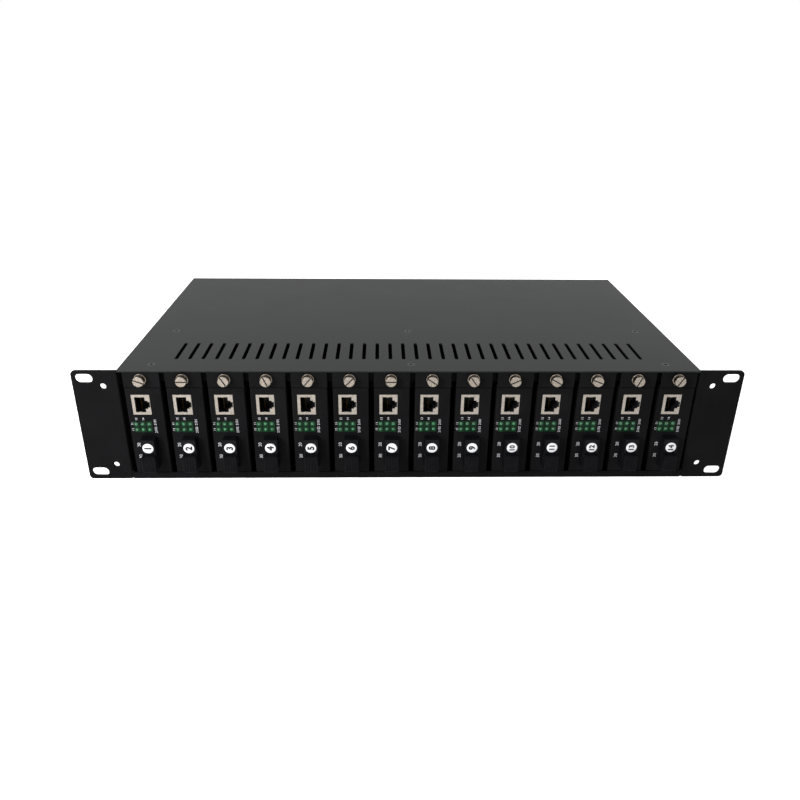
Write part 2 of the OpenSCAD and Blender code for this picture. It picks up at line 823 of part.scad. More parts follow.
// A quarter turn of wire in the XY plane, from the X axis to the Y axis
module wire_elbow() {
    rotate_extrude(angle = 90) translate([wire_bend_r, 0]) circle(d = wire_d);
}

// One mains wire: forward from the inlet, across, and down to the supply's terminals
module mains_wire(x0, x1, y1, z1) {
    y0 = y_inside - inlet_body_d - seat;
    r = wire_bend_r;
    translate([x0, 0, fan_z]) rod_y(wire_d, y1 + r, y0);
    translate([x0 + r, y1 + r, fan_z]) rotate(180) wire_elbow();
    translate([0, y1, fan_z]) rod_x(wire_d, x0 + r, x1 - r);
    translate([x1 - r, y1, fan_z - r]) rotate([90, 0, 0]) wire_elbow();
    translate([x1, y1, z1]) cylinder(d = wire_d, h = fan_z - r - z1);
}

// Three mains wires and two low-voltage wires for each supply
module wiring() {
    terminal_z = z_floor + supply_t + backplane_t + 3 * seat;
    color("#8b2f2a") for (side = [-1, 1]) on_side(side) {
        for (k = [0 : 2])
            mains_wire(inlet_x - wire_pitch * (1 + k), supply_x - terminal_w / 2 + wire_pitch * (1 + k),
                       supply_y + terminal_d / 2 + terminal_d * (1 - k) / 3, terminal_z + terminal_h + seat);
        for (k = [0, 1]) translate([supply_x + wire_pitch * (k - 1 / 2), 0, terminal_z + terminal_h / 2])
            rod_y(wire_d, backplane_y + backplane_t + terminal_d + seat, supply_y - seat);
    }
}

// Outline of the socket's opening in X and Z, with its two latch steps towards +X
module mouth_outline(grow) {
    left = jack_x - jack_w / 2 + jack_left;
    translate([left - grow, jack_z - mouth_h / 2 - grow]) square([mouth_w + 2 * grow, mouth_h + 2 * grow]);
    translate([left, jack_z - step_h / 2 - grow]) square([mouth_w + step_w + grow, step_h + 2 * grow]);
    translate([left, jack_z - notch_h / 2 - grow])
        square([mouth_w + step_w + notch_w + grow, notch_h + 2 * grow]);
}

// Where the six indicators go
module at_leds() {
    for (col = [0 : 2]) for (row = [0, 1])
        translate([led_x - col * led_pitch_x, 0, led_z + row * led_pitch_z]) children();
}

// Where the circuit board's four screws go, in Y and Z
module at_board_screws() {
    for (y = [max(jack_d, module_d) + board_margin, card_d - board_back - board_margin])
        for (z = [2 * board_margin, card_h - 2 * board_margin]) translate([0, y, z]) children();
}

// Base shell: faceplate, right wall and back wall, with four posts for the board
module unit_base() {
    color("#1c1d20") difference() {
        union() {
            block([-card_w / 2, 0, 0], [card_w / 2, card_t, card_h]);
            block([card_w / 2 - card_t, 0, 0], [card_w / 2, card_d, card_h]);
            block([-card_w / 2, card_d - card_t, 0], [card_w / 2, card_d, card_h]);
            at_board_screws() rod_x(post_d, board_x + board_t + seat, card_w / 2 - card_t / 2);
        }
        cut_y(0, card_t) {
            translate([jack_x - jack_w / 2 - play, jack_z - jack_h / 2 - play])
                square([jack_w + 2 * play, jack_h + 2 * play]);
            translate([-module_w / 2 - play, module_z - play]) square([module_w + 2 * play, module_h + 2 * play]);
        }
        at_leds() rod_y(led_d + play, -over, card_t + over);
        translate([0, 0, dc_z]) rod_y(dc_nose_d + play, card_d - card_t - over, card_d + over);
        at_board_screws() rod_x(m3_d + 2 * run, board_x, card_w / 2 - card_t);
    }
}

// Cover shell: left wall, top and bottom
module unit_cover() {
    right = card_w / 2 - card_t - seat;
    back = card_d - card_t - seat;
    color("#1c1d20") difference() {
        block([-card_w / 2, card_t + seat, 0], [right, back, card_h]);
        block([-card_w / 2 + card_t, 0, card_t], [right + over, back + over, card_h - card_t]);
        at_bracket_screws() cylinder(d = m3_hole_d, h = 2 * card_t + over, center = true);
    }
}

// Where the bracket's two screws go, on the top of the case
module at_bracket_screws() {
    for (side = [-1, 1]) translate([side * card_w / 4, bracket_d * bracket_screw_share, card_h]) children();
}

// Bracket: an L of sheet on the case's top, with the thumbscrew's ferrule pressed in
module unit_bracket() {
    color("#1c1d20") difference() {
        union() {
            block([-card_w / 2, 0, card_h + seat], [card_w / 2, bracket_t, card_h + bracket_h]);
            block([-card_w / 2, 0, card_h + seat], [card_w / 2, bracket_d, bracket_top]);
        }
        translate([-card_w / 2, 0, card_h + seat]) rotate([90, 0, 90]) translate([0, 0, -over])
            linear_extrude(card_w + 2 * over) corner_cut(card_t);
        at_bracket_screws() cylinder(d = m3_hole_d, h = 4 * card_t + over, center = true);
        translate([thumb_x, 0, card_h + thumb_z])
            rod_y(ferrule_sleeve_d + 2 * seat, -over, bracket_t + over);
    }
    color("#c9c2b8") translate([thumb_x, 0, card_h + thumb_z]) difference() {
        union() {
            rod_y(ferrule_d, -ferrule_t, -seat);
            rod_y(ferrule_sleeve_d, -ferrule_t, bracket_t);
        }
        rod_y(thumb_neck_d + 2 * run, -ferrule_t - over, bracket_t + over);
    }
}

// Circuit board with its larger components
module unit_board() {
    chip_t = board_t;
    color("#1f6b3e") difference() {
        union() {
            block([board_x, card_t + seat, 2 * card_t], [board_x + board_t, card_d - board_back, card_h - 2 * card_t]);
            translate([board_x, module_d + board_margin, module_z + module_h / 2])
                block([-chip_t, 0, 0], [0, module_d, module_h]);
            translate([board_x, jack_d + 3 * board_margin, jack_z])
                block([-3 * chip_t, 0, -jack_h / 2], [0, jack_h, jack_h / 4]);
        }
        at_board_screws() rod_x(m3_hole_d, board_x - over, board_x + board_t + over);
    }
}

// Nickel shield of the data socket
module unit_shield() {
    left = jack_x - jack_w / 2;
    low = jack_z - jack_h / 2;
    color("#d8d2c8") difference() {
        block([left, 0, low], [left + jack_w, jack_d, low + jack_h]);
        block([left + jack_wall, jack_wall, low + jack_wall],
              [left + jack_w - jack_wall, jack_d + over, low + jack_h - jack_wall]);
        cut_y(0, jack_wall) mouth_outline(0);
    }
}

// Black insert of the data socket, open to the front
module unit_insert() {
    gap = jack_wall + seat;
    left = jack_x - jack_w / 2;
    low = jack_z - jack_h / 2;
    color("#121315") difference() {
        block([left + gap, gap, low + gap], [left + jack_w - gap, jack_d, low + jack_h - gap]);
        // The latch notch stops inside the insert's side wall
        intersection() {
            cut_y(0, mouth_d - over) mouth_outline(play / 2);
            block([left + gap + insert_wall, -over, low], [left + jack_w - gap - insert_wall, jack_d, low + jack_h]);
        }
    }
}

// Six round-nosed indicators and the holder that stands on the board
module unit_leds() {
    color("#1f9d55") at_leds() {
        rod_y(led_d, led_d / 2 - led_proud, led_len);
        intersection() {
            translate([0, led_d / 2 - led_proud, 0]) sphere(d = led_d);
            rod_y(led_d + over, -led_proud, led_d);
        }
    }
    color("#e4e2da") block([led_x - 2 * led_pitch_x - led_holder_margin, led_len + seat, led_z - led_holder_margin],
                           [board_x - seat, led_len + led_holder_d, led_z + led_pitch_z + led_holder_margin]);
}

// Optical module: a block through the faceplate with a plug socket in its lower half
module unit_module() {
    color("#141518") {
        difference() {
            block([-module_w / 2, -module_proud, module_z],
                  [board_x - seat, module_d, module_z + module_h]);
            translate([0, -module_proud, port_z])
                block([-port_w / 2, -over, -port_h / 2], [port_w / 2, port_d, port_h / 2]);
        }
        translate([0, port_d - module_proud, port_z]) difference() {
            rod_y(sleeve_d, -sleeve_len, bite);
            rod_y(sleeve_bore_d, -sleeve_len - over, -bite);
        }
    }
    color("#f2f1ee") translate([0, -module_proud - seat - sticker_t, module_z + sticker_z])
        rod_y(sticker_d, 0, sticker_t);
}

// Dust cap: a hollow plug with a ribbed grip outside the module
module unit_dust_cap() {
    inner_w = port_w - 2 * play - 2 * cap_wall;
    inner_h = port_h - 2 * play - 2 * cap_wall;
    face = -module_proud - seat;
    color("#1b1c1f") translate([0, 0, port_z]) difference() {
        union() {
            block([-module_w / 2, face - cap_proud, module_z - port_z],
                  [module_w / 2, face, module_z - port_z + cap_h]);
            block([-port_w / 2 + play, face - seat, -port_h / 2 + play],
                  [port_w / 2 - play, face + cap_reach, port_h / 2 - play]);
        }
        block([-inner_w / 2, face, -inner_h / 2], [inner_w / 2, face + cap_reach + over, inner_h / 2]);
        for (k = [0 : cap_grooves - 1])
            translate([(k - (cap_grooves - 1) / 2) * module_w / (cap_grooves + 1), face - cap_proud, 0])
                block([-cap_groove_w / 2, -over, module_z - port_z - over],
                      [cap_groove_w / 2, cap_groove_d, module_z - port_z + cap_h + over]);
    }
}

// Power jack at the back of the board, with its centre pin
module unit_power_jack() {
    back = card_d - card_t - play;
    color("#151618") translate([0, 0, dc_z]) difference() {
        union() {
            block([board_x - dc_body, back - dc_body_d, -dc_body / 2], [board_x - seat, back, dc_body / 2]);
            rod_y(dc_nose_d, back - dc_body_d / 2, card_d);
        }
        rod_y(dc_bore_d, card_d - dc_bore_deep, card_d + over);
    }
    color("#c9c4b8") translate([0, 0, dc_z])
        rod_y(dc_pin_d, card_d - dc_bore_deep + seat, card_d - dc_pin_d);
}

// Two bracket screws and four board screws
module unit_screws() {
    color("#b9b6ac") {
        at_bracket_screws() {
            translate([0, 0, bracket_t + 2 * seat]) cylinder(d = flat_head_d, h = screw_head_t - seat);
            translate([0, 0, -card_t - bite]) cylinder(d = m3_d, h = bracket_t + 2 * card_t + bite);
        }
        at_board_screws() {
            rod_x(flat_head_d, board_x - screw_head_t - seat, board_x - seat);
            rod_x(m3_d, board_x - screw_head_t, card_w / 2 - 2 * card_t);
        }
    }
}

// Puts a piece of a converter in its bay, counted from 1 at the left
module in_bay(number) {
    translate([bay_x(number - 1), y_front, card_z]) children();
}

// A whole converter, as one group of separate solids
module converter(number) {
    in_bay(number) {
        unit_base();
        unit_cover();
        unit_bracket();
        unit_board();
        unit_shield();
        unit_insert();
        unit_leds();
        unit_module();
        unit_dust_cap();
        unit_power_jack();
        unit_screws();
    }
}

// Thumbscrew: slotted head, neck in the ferrule, thread through the rail's nut
module thumbscrew(number) {
    head_back = -ferrule_t - thumb_gap;
    color("#d8d0c6") in_bay(number) translate([thumb_x, 0, card_h + thumb_z])
        rotate([0, thumb_turns[number - 1], 0]) difference() {
            union() {
                translate([0, -thumb_proud, 0]) rotate([-90, 0, 0])
                    cylinder(d1 = thumb_head_d - 2 * thumb_chamfer, d2 = thumb_head_d, h = thumb_chamfer);
                rod_y(thumb_head_d, thumb_chamfer - thumb_proud, head_back);
                rod_y(thumb_neck_d, head_back, bracket_t);
                rod_y(thumb_d, head_back, thumb_len);
            }
            block([-thumb_head_d, -thumb_proud - over, -thumb_slot_w / 2],
                  [thumb_head_d, thumb_slot_deep - thumb_proud, thumb_slot_w / 2]);
        }
}

base_tray();
top_cover();
cover_screws();
rack_ear(-1);  // rack_ear_left
rack_ear(1);  // rack_ear_right
panel_screws();
front_rail();
press_nuts();
lower_guide();
upper_guide();
backplane_board();
backplane_plugs();
rear_panel();
power_supply(-1);  // power_supply_a
power_supply(1);  // power_supply_b
power_inlets();
rocker(-1);  // rocker_a
rocker(1);  // rocker_b
fan_frames();
fan_rotor(-1);  // fan_rotor_a
fan_rotor(1);  // fan_rotor_b
wiring();
in_bay(1) unit_base();  // converter_01_base
in_bay(1) unit_cover();  // converter_01_cover
in_bay(1) unit_board();  // converter_01_board
in_bay(1) unit_shield();  // converter_01_shield
in_bay(1) unit_insert();  // converter_01_insert
in_bay(1) unit_leds();  // converter_01_leds
in_bay(1) unit_module();  // converter_01_module
in_bay(1) unit_dust_cap();  // converter_01_dust_cap
in_bay(1) unit_bracket();  // converter_01_bracket
in_bay(1) unit_power_jack();  // converter_01_power_jack
in_bay(1) unit_screws();  // converter_01_screws
converter(2);  // converter_02
converter(3);  // converter_03
converter(4);  // converter_04
converter(5);  // converter_05
converter(6);  // converter_06
converter(7);  // converter_07
converter(8);  // converter_08
converter(9);  // converter_09
converter(10);  // converter_10
converter(11);  // converter_11
converter(12);  // converter_12
converter(13);  // converter_13
converter(14);  // converter_14
thumbscrew(1);  // thumbscrew_01
thumbscrew(2);  // thumbscrew_02
thumbscrew(3);  // thumbscrew_03
thumbscrew(4);  // thumbscrew_04
thumbscrew(5);  // thumbscrew_05
thumbscrew(6);  // thumbscrew_06
thumbscrew(7);  // thumbscrew_07
thumbscrew(8);  // thumbscrew_08
thumbscrew(9);  // thumbscrew_09
thumbscrew(10);  // thumbscrew_10
thumbscrew(11);  // thumbscrew_11
thumbscrew(12);  // thumbscrew_12
thumbscrew(13);  // thumbscrew_13
thumbscrew(14);  // thumbscrew_14
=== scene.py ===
"""Two-unit rack chassis with fourteen plug-in media converters, finished for the eye.

Every surface is a function of two parameters on a grid, a profile carried along a path, or a welded
copy of the first converter's own sheet metal moved along the row of bays. Lengths are in metres.
"""
import bmesh
import bpy
import numpy as np
from mathutils import Matrix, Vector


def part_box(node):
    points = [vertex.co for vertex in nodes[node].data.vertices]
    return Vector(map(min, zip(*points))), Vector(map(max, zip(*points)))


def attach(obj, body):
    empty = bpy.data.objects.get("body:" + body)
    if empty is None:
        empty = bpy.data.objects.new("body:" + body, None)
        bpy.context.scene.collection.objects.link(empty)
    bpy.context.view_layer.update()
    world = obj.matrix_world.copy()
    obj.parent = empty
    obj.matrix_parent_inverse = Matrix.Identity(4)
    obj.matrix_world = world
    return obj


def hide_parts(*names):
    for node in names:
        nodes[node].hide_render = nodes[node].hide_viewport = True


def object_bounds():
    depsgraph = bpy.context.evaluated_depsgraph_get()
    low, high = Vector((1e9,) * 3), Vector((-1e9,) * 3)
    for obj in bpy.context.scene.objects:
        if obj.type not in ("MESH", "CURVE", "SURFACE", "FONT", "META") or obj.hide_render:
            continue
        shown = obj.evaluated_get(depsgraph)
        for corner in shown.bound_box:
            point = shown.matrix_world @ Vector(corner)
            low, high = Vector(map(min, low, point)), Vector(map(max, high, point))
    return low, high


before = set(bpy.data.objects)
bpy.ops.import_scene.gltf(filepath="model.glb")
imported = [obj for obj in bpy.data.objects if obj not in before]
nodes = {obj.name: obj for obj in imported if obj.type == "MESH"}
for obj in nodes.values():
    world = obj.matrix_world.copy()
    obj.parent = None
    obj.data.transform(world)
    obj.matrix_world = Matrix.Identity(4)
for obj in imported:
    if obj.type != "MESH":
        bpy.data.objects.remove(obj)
cad_low, cad_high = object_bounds()


# Camera: a 33 mm lens half a metre in front of the rack face, a little left of the middle,
# looking down at the vent slots by 25 degrees. Its place comes from the slots, the ears' corners
# and the cover's rear corners in the photograph.
camera_place = (-0.02215, -0.48335, 0.24637)
pitch, yaw, roll = np.radians([25.055, -1.680, 0.678])
focal_pixels, photo_pixels, sensor_mm = 731.98, 800, 36
level = np.array([np.cos(yaw), np.sin(yaw), 0])
ahead = np.array([-np.sin(yaw), np.cos(yaw), 0])
down = np.array([0, 0, -1])
looking = np.cos(pitch) * ahead + np.sin(pitch) * down
above = np.sin(pitch) * ahead - np.cos(pitch) * down
right = np.cos(roll) * level + np.sin(roll) * above
up = np.cos(roll) * above - np.sin(roll) * level
camera_data = bpy.data.cameras.new("camera")
camera_data.sensor_width = sensor_mm
camera_data.lens = focal_pixels / photo_pixels * sensor_mm
camera_data.clip_start, camera_data.clip_end = 0.01, 50
camera = bpy.data.objects.new("camera", camera_data)
axes = np.eye(4)
axes[:3] = np.column_stack([right, up, -looking, camera_place])
camera.matrix_world = Matrix(axes.tolist())
show = bpy.context.scene.collection.objects.link
show(camera)
bpy.context.scene.camera = camera
bpy.context.scene.view_settings.view_transform = "Standard"


# Studio: a white room and three soft square lamps. The third stands near the left front corner, so
# that the black faces grow darker from the left ear to the right one, and no shiny face mirrors it.
room_light = 0.42
lamps = (("lamp_left", (-1.3, -0.9, 1.5), 1.2, 15),
         ("lamp_right", (1.4, 0.3, 1.6), 1.0, 14),
         ("lamp_near_left", (-0.62, -0.6, 0.36), 0.3, 11))


def linear(code):
    """An sRGB hex colour as linear RGBA: c/12.92 up to 0.04045, else ((c + 0.055)/1.055)^2.4."""
    c = np.array([int(code[k:k + 2], 16) for k in (1, 3, 5)]) / 255
    c = np.where(c <= 0.04045, c / 12.92, ((c + 0.055) / 1.055) ** 2.4)
    return (*c.tolist(), 1.0)


def add(tree, kind, links=(), **settings):
    """Adds a node and links its inputs. A setting is the stops of a ramp, a property, or the value of an
    input, in whose name an underscore stands for a space."""
    node = tree.nodes.new(kind)
    for key, value in settings.items():
        if key == "stops":
            for stop, (at, colour) in zip(node.color_ramp.elements, value):
                stop.position, stop.color = at, linear(colour)
        elif hasattr(node, key):
            setattr(node, key, value)
        else:
            node.inputs[key.replace("_", " ")].default_value = value
    for key, source in links:
        tree.links.new(source, node.inputs[key])
    return node


def seen_directly(tree):
    """The greatest of three flags: 1 for a ray from the camera, off a shiny face or through a clear one."""
    rays = add(tree, "ShaderNodeLightPath")
    seen = rays.outputs["Is Camera Ray"]
    for flag in ("Is Glossy Ray", "Is Transmission Ray"):
        greatest = add(tree, "ShaderNodeMath", [(0, seen), (1, rays.outputs[flag])], operation="MAXIMUM")
        seen = greatest.outputs[0]
    return seen


room = bpy.data.worlds.new("white_room")
bpy.context.scene.world = room
room.use_nodes = True
tree = room.node_tree
tree.nodes.clear()
amount = add(tree, "ShaderNodeMapRange", [("Value", seen_directly(tree))], To_Min=room_light, To_Max=1.0)
white = add(tree, "ShaderNodeBackground", [("Strength", amount.outputs["Result"])], Color=(1, 1, 1, 1))
add(tree, "ShaderNodeOutputWorld", [("Surface", white.outputs[0])])

for name, place, size, power in lamps:
    lamp_data = bpy.data.lights.new(name, "AREA")
    lamp_data.shape, lamp_data.size, lamp_data.energy = "SQUARE", size, power
    lamp = bpy.data.objects.new(name, lamp_data)
    z = np.array(place) / np.linalg.norm(place)
    x = np.cross((0, 0, 1), z)
    x /= np.linalg.norm(x)
    turn = np.eye(4)
    turn[:3] = np.column_stack([x, np.cross(z, x), z, place])
    lamp.matrix_world = Matrix(turn.tolist())
    lamp.visible_glossy = name != "lamp_near_left"
    show(lamp)


# Table: a matt white painted top just under the tray. It glows a little to whatever sees it directly,
# so that it prints white and only the chassis's soft shadow stays in it.
table_glow, table_gap, speck_size = 0.68, 0.0001, 0.05
table_left, table_right, table_near, table_far = -2.5, 2.5, -2.5, 1.6


def grid_faces(rows, columns, wrap=False):
    """The quads of a grid of rows x columns points, whose last column may join the first."""
    r = np.arange(rows - 1)[:, None]
    c = np.arange(columns if wrap else columns - 1)[None, :]
    n = (c + 1) % columns
    corners = [r * columns + c, r * columns + n, (r + 1) * columns + n, (r + 1) * columns + c]
    return np.stack(corners, axis=-1).reshape(-1, 4)


def piece(name, parts, material, smooth=35):
    """An object from parts, each (points, faces), with edges sharper than smooth degrees left sharp."""
    points = [np.asarray(part[0], float).reshape(-1, 3) for part in parts]
    starts = np.cumsum([0] + [len(p) for p in points]).tolist()
    faces = [[int(k) + start for k in face] for start, part in zip(starts, parts) for face in part[1]]
    mesh = bpy.data.meshes.new(name)
    mesh.from_pydata(np.concatenate(points).tolist(), [], faces)
    mesh.validate()
    mesh.shade_smooth()
    mesh.set_sharp_from_angle(angle=np.radians(smooth))
    mesh.materials.append(material)
    obj = bpy.data.objects.new(name, mesh)
    show(obj)
    return obj


def new_material(name, **values):
    """A new material with its tree, its object coordinates, and its shader at the given values."""
    material = bpy.data.materials.new(name)
    material.use_nodes = True
    tree = material.node_tree
    tree.nodes.clear()
    place = add(tree, "ShaderNodeTexCoord").outputs["Object"]
    shader = add(tree, "ShaderNodeBsdfPrincipled", **values)
    add(tree, "ShaderNodeOutputMaterial", [("Surface", shader.outputs[0])])
    return material, tree, place, shader


table_paint, tree, place, shader = new_material("table_paint_white", Roughness=0.9, Specular_IOR_Level=0.0,
                                                Emission_Color=(1, 1, 1, 1))
speck = add(tree, "ShaderNodeTexNoise", [("Vector", place)], Scale=1 / speck_size, Detail=3.0)
tone = add(tree, "ShaderNodeValToRGB", [("Fac", speck.outputs["Fac"])],
           stops=[(0.3, "#f7f7f7"), (0.7, "#ffffff")])
tree.links.new(tone.outputs["Color"], shader.inputs["Base Color"])
glow = add(tree, "ShaderNodeMath", [(0, seen_directly(tree))], operation="MULTIPLY")
glow.inputs[1].default_value = table_glow
tree.links.new(glow.outputs[0], shader.inputs["Emission Strength"])
x, y = np.meshgrid(np.linspace(table_left, table_right, 9), np.linspace(table_near, table_far, 9))
table_top = np.stack([x, y, np.full_like(x, cad_low[2] - table_gap)], -1)
table = piece("table", [(table_top, grid_faces(9, 9))], table_paint)


# Folded steel of the chassis: tray, ears, rails and rear panel, all in a matt black powder coat.
# The powder melts into a fine orange peel, about 0.7 mm from bump to bump, that scatters the light.
def powder_coat(name, dark, pale, roughness, gloss):
    """Powder coat: two close blacks in slow clouds, a roughness that follows them by 0.05 either way, and
    orange peel."""
    cloud_size, peel_size, peel_depth = 0.035, 0.0007, 0.00004
    material, tree, place, shader = new_material(name, Specular_IOR_Level=gloss)
    cloud = add(tree, "ShaderNodeTexNoise", [("Vector", place)], Scale=1 / cloud_size, Detail=4.0)
    tone = add(tree, "ShaderNodeValToRGB", [("Fac", cloud.outputs["Fac"])], stops=[(0.3, dark), (0.7, pale)])
    tree.links.new(tone.outputs["Color"], shader.inputs["Base Color"])
    rough = add(tree, "ShaderNodeMapRange", [("Value", cloud.outputs["Fac"])],
                To_Min=roughness - 0.05, To_Max=roughness + 0.05)
    tree.links.new(rough.outputs["Result"], shader.inputs["Roughness"])
    peel = add(tree, "ShaderNodeTexNoise", [("Vector", place)], Scale=1 / peel_size, Detail=2.0)
    bump = add(tree, "ShaderNodeBump", [("Height", peel.outputs["Fac"])], Strength=0.25, Distance=peel_depth)
    tree.links.new(bump.outputs["Normal"], shader.inputs["Normal"])
    return material


def dress(names, material):
    """Gives CAD nodes that keep their own mesh their material."""
    for name in names:
        nodes[name].data.materials.clear()
        nodes[name].data.materials.append(material)


black_coat = powder_coat("black_powder_coat", "#0b0b0c", "#101011", 0.48, 0.02)
dress(("base_tray", "rack_ear_left", "rack_ear_right", "front_rail", "lower_guide", "upper_guide",
       "rear_panel"), black_coat)


# Cover: one folded sheet in a smoother black coat, which takes the lamps' light as a soft grey sheen. Its
# base colour is drawn paler than the black it shares with the rest: that paler tone is painted light, added
# to the sheen on top.
cover_coat_painted_light = powder_coat("cover_powder_coat_painted_light", "#1a1b1b", "#202121", 0.42, 0.11)
dress(("top_cover",), cover_coat_painted_light)


# Screws of the cover, ears and rear panel: turned steel with a black zinc finish, a mottled dark grey
# that is shinier than the coat around it. The mottle is drawn 0.8 mm wide, coarser than the real one.
zinc_mottle = 0.0008
# The same dark material also paints the shade on the thumbscrews' slot floors.
black_zinc_and_painted_shade, tree, place, shader = new_material("black_zinc_steel_and_painted_shade", Metallic=0.7, Roughness=0.42)
grain = add(tree, "ShaderNodeTexNoise", [("Vector", place)], Scale=1 / zinc_mottle, Detail=3.0)
tone = add(tree, "ShaderNodeValToRGB", [("Fac", grain.outputs["Fac"])],
           stops=[(0.3, "#242426"), (0.75, "#4a4a4c")])
tree.links.new(tone.outputs["Color"], shader.inputs["Base Color"])
dress(("cover_screws", "panel_screws"), black_zinc_and_painted_shade)


# Press nuts and the small screws of the converters: bright zinc over turned steel, faintly yellow.
# Here and on the other plated metals the grain is drawn about a millimetre wide, so that it shows.
def plated(name, dark, pale, roughness, grain_size):
    """Plated metal: two close tones in soft grain, and a roughness that follows it by 0.06 either way."""
    material, tree, place, shader = new_material(name, Metallic=1.0)
    grain = add(tree, "ShaderNodeTexNoise", [("Vector", place)], Scale=1 / grain_size, Detail=3.0)
    tone = add(tree, "ShaderNodeValToRGB", [("Fac", grain.outputs["Fac"])], stops=[(0.3, dark), (0.7, pale)])
    tree.links.new(tone.outputs["Color"], shader.inputs["Base Color"])
    rough = add(tree, "ShaderNodeMapRange", [("Value", grain.outputs["Fac"])],
                To_Min=roughness - 0.06, To_Max=roughness + 0.06)
    tree.links.new(rough.outputs["Result"], shader.inputs["Roughness"])
    return material


zinc = plated("bright_zinc", "#b9b5a8", "#d3cfc2", 0.34, 0.0006)
dress(("press_nuts",), zinc)


# Inside and behind: the backplane's green solder mask, its black plugs, the supplies' bare aluminium
# cases, their red wires, and the nylon of inlets, rockers and fans. What lies inside shows through
# the vents, the fan grilles and an empty bay.
def moulded(name, dark, pale, roughness, texture, gloss=0.3):
    """Moulded plastic: a soft mottle, a spark-eroded texture of the given size and a gentle shine."""
    mottle_size, texture_depth = 0.006, 0.00002
    material, tree, place, shader = new_material(name, Roughness=roughness, Specular_IOR_Level=gloss)
    cloud = add(tree, "ShaderNodeTexNoise", [("Vector", place)], Scale=1 / mottle_size, Detail=3.0)
    tone = add(tree, "ShaderNodeValToRGB", [("Fac", cloud.outputs["Fac"])], stops=[(0.3, dark), (0.7, pale)])
    tree.links.new(tone.outputs["Color"], shader.inputs["Base Color"])
    skin = add(tree, "ShaderNodeTexNoise", [("Vector", place)], Scale=1 / texture, Detail=2.0)
    bump = add(tree, "ShaderNodeBump", [("Height", skin.outputs["Fac"])],
               Strength=0.2, Distance=texture_depth)
    tree.links.new(bump.outputs["Normal"], shader.inputs["Normal"])
    return material


solder_mask = moulded("green_solder_mask", "#0d4a2a", "#14603a", 0.3, 0.0012)
black_nylon = moulded("black_nylon", "#0e0e10", "#141416", 0.5, 0.0005)
gloss_nylon = moulded("polished_black_nylon", "#0a0a0b", "#0f0f10", 0.2, 0.002)
red_jacket = moulded("red_wire_jacket", "#6e1c16", "#8a261d", 0.45, 0.002)
mill_aluminium = plated("mill_aluminium", "#a9abae", "#c6c8ca", 0.36, 0.003)
dress(("backplane_board",), solder_mask)
dress(("backplane_plugs", "power_inlets", "fan_frames", "fan_rotor_a", "fan_rotor_b"), black_nylon)
dress(("rocker_a", "rocker_b"), gloss_nylon)
dress(("wiring",), red_jacket)
dress(("power_supply_a", "power_supply_b"), mill_aluminium)


# Converter cases: two folded steel shells, a faceplate and walls, in a smooth black powder coat. Each
# bay's shells are the first converter's, welded and moved along by the bay pitch. Their sharp edges
# get a 0.2 mm radius, and the two upright ends of the faceplate a 0.8 mm one.
bays = range(1, 15)
bay_pitch = 0.02973
sheet_radius, end_radius = 0.0002, 0.0008
face_coat = powder_coat("converter_black_coat", "#0b0b0c", "#111112", 0.44, 0.02)
case_low, case_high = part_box("converter_01_base")
middle = (case_low.x + case_high.x) / 2


def bay_start(number):
    """The middle of the first case's lower front edge, moved along X by whole bay pitches."""
    return np.array([middle + (number - 1) * bay_pitch, case_low.y, case_low.z])


def welded(node, keep=None, corners=None, radius=0):
    """A copy of a CAD node's mesh, with points closer than a micron joined, and triangles within half a
    degree made one face. keep chooses faces by their centre. corners chooses edges by their two ends,
    which get a round of the given radius."""
    shape = bmesh.new()
    shape.from_mesh(nodes[node].data)
    bmesh.ops.remove_doubles(shape, verts=shape.verts, dist=1e-6)
    if keep is not None:
        surplus = [face for face in shape.faces if not keep(face.calc_center_median())]
        bmesh.ops.delete(shape, geom=surplus, context="FACES")
    bmesh.ops.dissolve_limit(shape, angle_limit=np.radians(0.5), verts=shape.verts, edges=shape.edges)
    if corners is not None:
        chosen = [edge for edge in shape.edges if corners(edge.verts[0].co, edge.verts[1].co)]
        bmesh.ops.bevel(shape, geom=chosen, offset=radius, segments=5, profile=0.5, affect="EDGES")
    mesh = bpy.data.meshes.new(node + "_welded")
    shape.to_mesh(mesh)
    shape.free()
    mesh.materials.clear()
    return mesh


def in_bay(mesh, number, name, material, radius):
    """The welded mesh in its bay, its coordinates moved by whole pitches, with sharp edges rounded."""
    copy = mesh.copy()
    copy.transform(Matrix.Translation(((number - 1) * bay_pitch, 0, 0)))
    copy.shade_smooth()
    copy.set_sharp_from_angle(angle=np.radians(35))
    copy.materials.append(material)
    obj = bpy.data.objects.new(name, copy)
    show(obj)
    if radius:
        edge = obj.modifiers.new("edge", "BEVEL")
        edge.width, edge.segments, edge.limit_method = radius, 2, "ANGLE"
        edge.angle_limit, edge.harden_normals = np.radians(40), True
    return obj


def front_corner(a, b):
    """True for an edge from a to b in the faceplate's plane that is over 50 mm high and stands more than
    12.8 mm from the middle."""
    in_front = max(a.y, b.y) < case_low.y + 1e-5
    at_end = min(abs(a.x - middle), abs(b.x - middle)) > 0.0128
    return in_front and at_end and abs(a.z - b.z) > 0.05


base_shell = welded("converter_01_base", corners=front_corner, radius=end_radius)
cover_shell = welded("converter_01_cover")
for number in bays:
    body = f"converter_{number:02d}"
    front = in_bay(base_shell, number, f"{body}_faceplate_shell", face_coat, sheet_radius)
    back = in_bay(cover_shell, number, f"{body}_rear_shell", face_coat, sheet_radius)
    for obj in (front, back):
        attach(obj, body)
    if number == 1:
        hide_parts("converter_01_base")
        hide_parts("converter_01_cover")
    else:
        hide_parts(body)


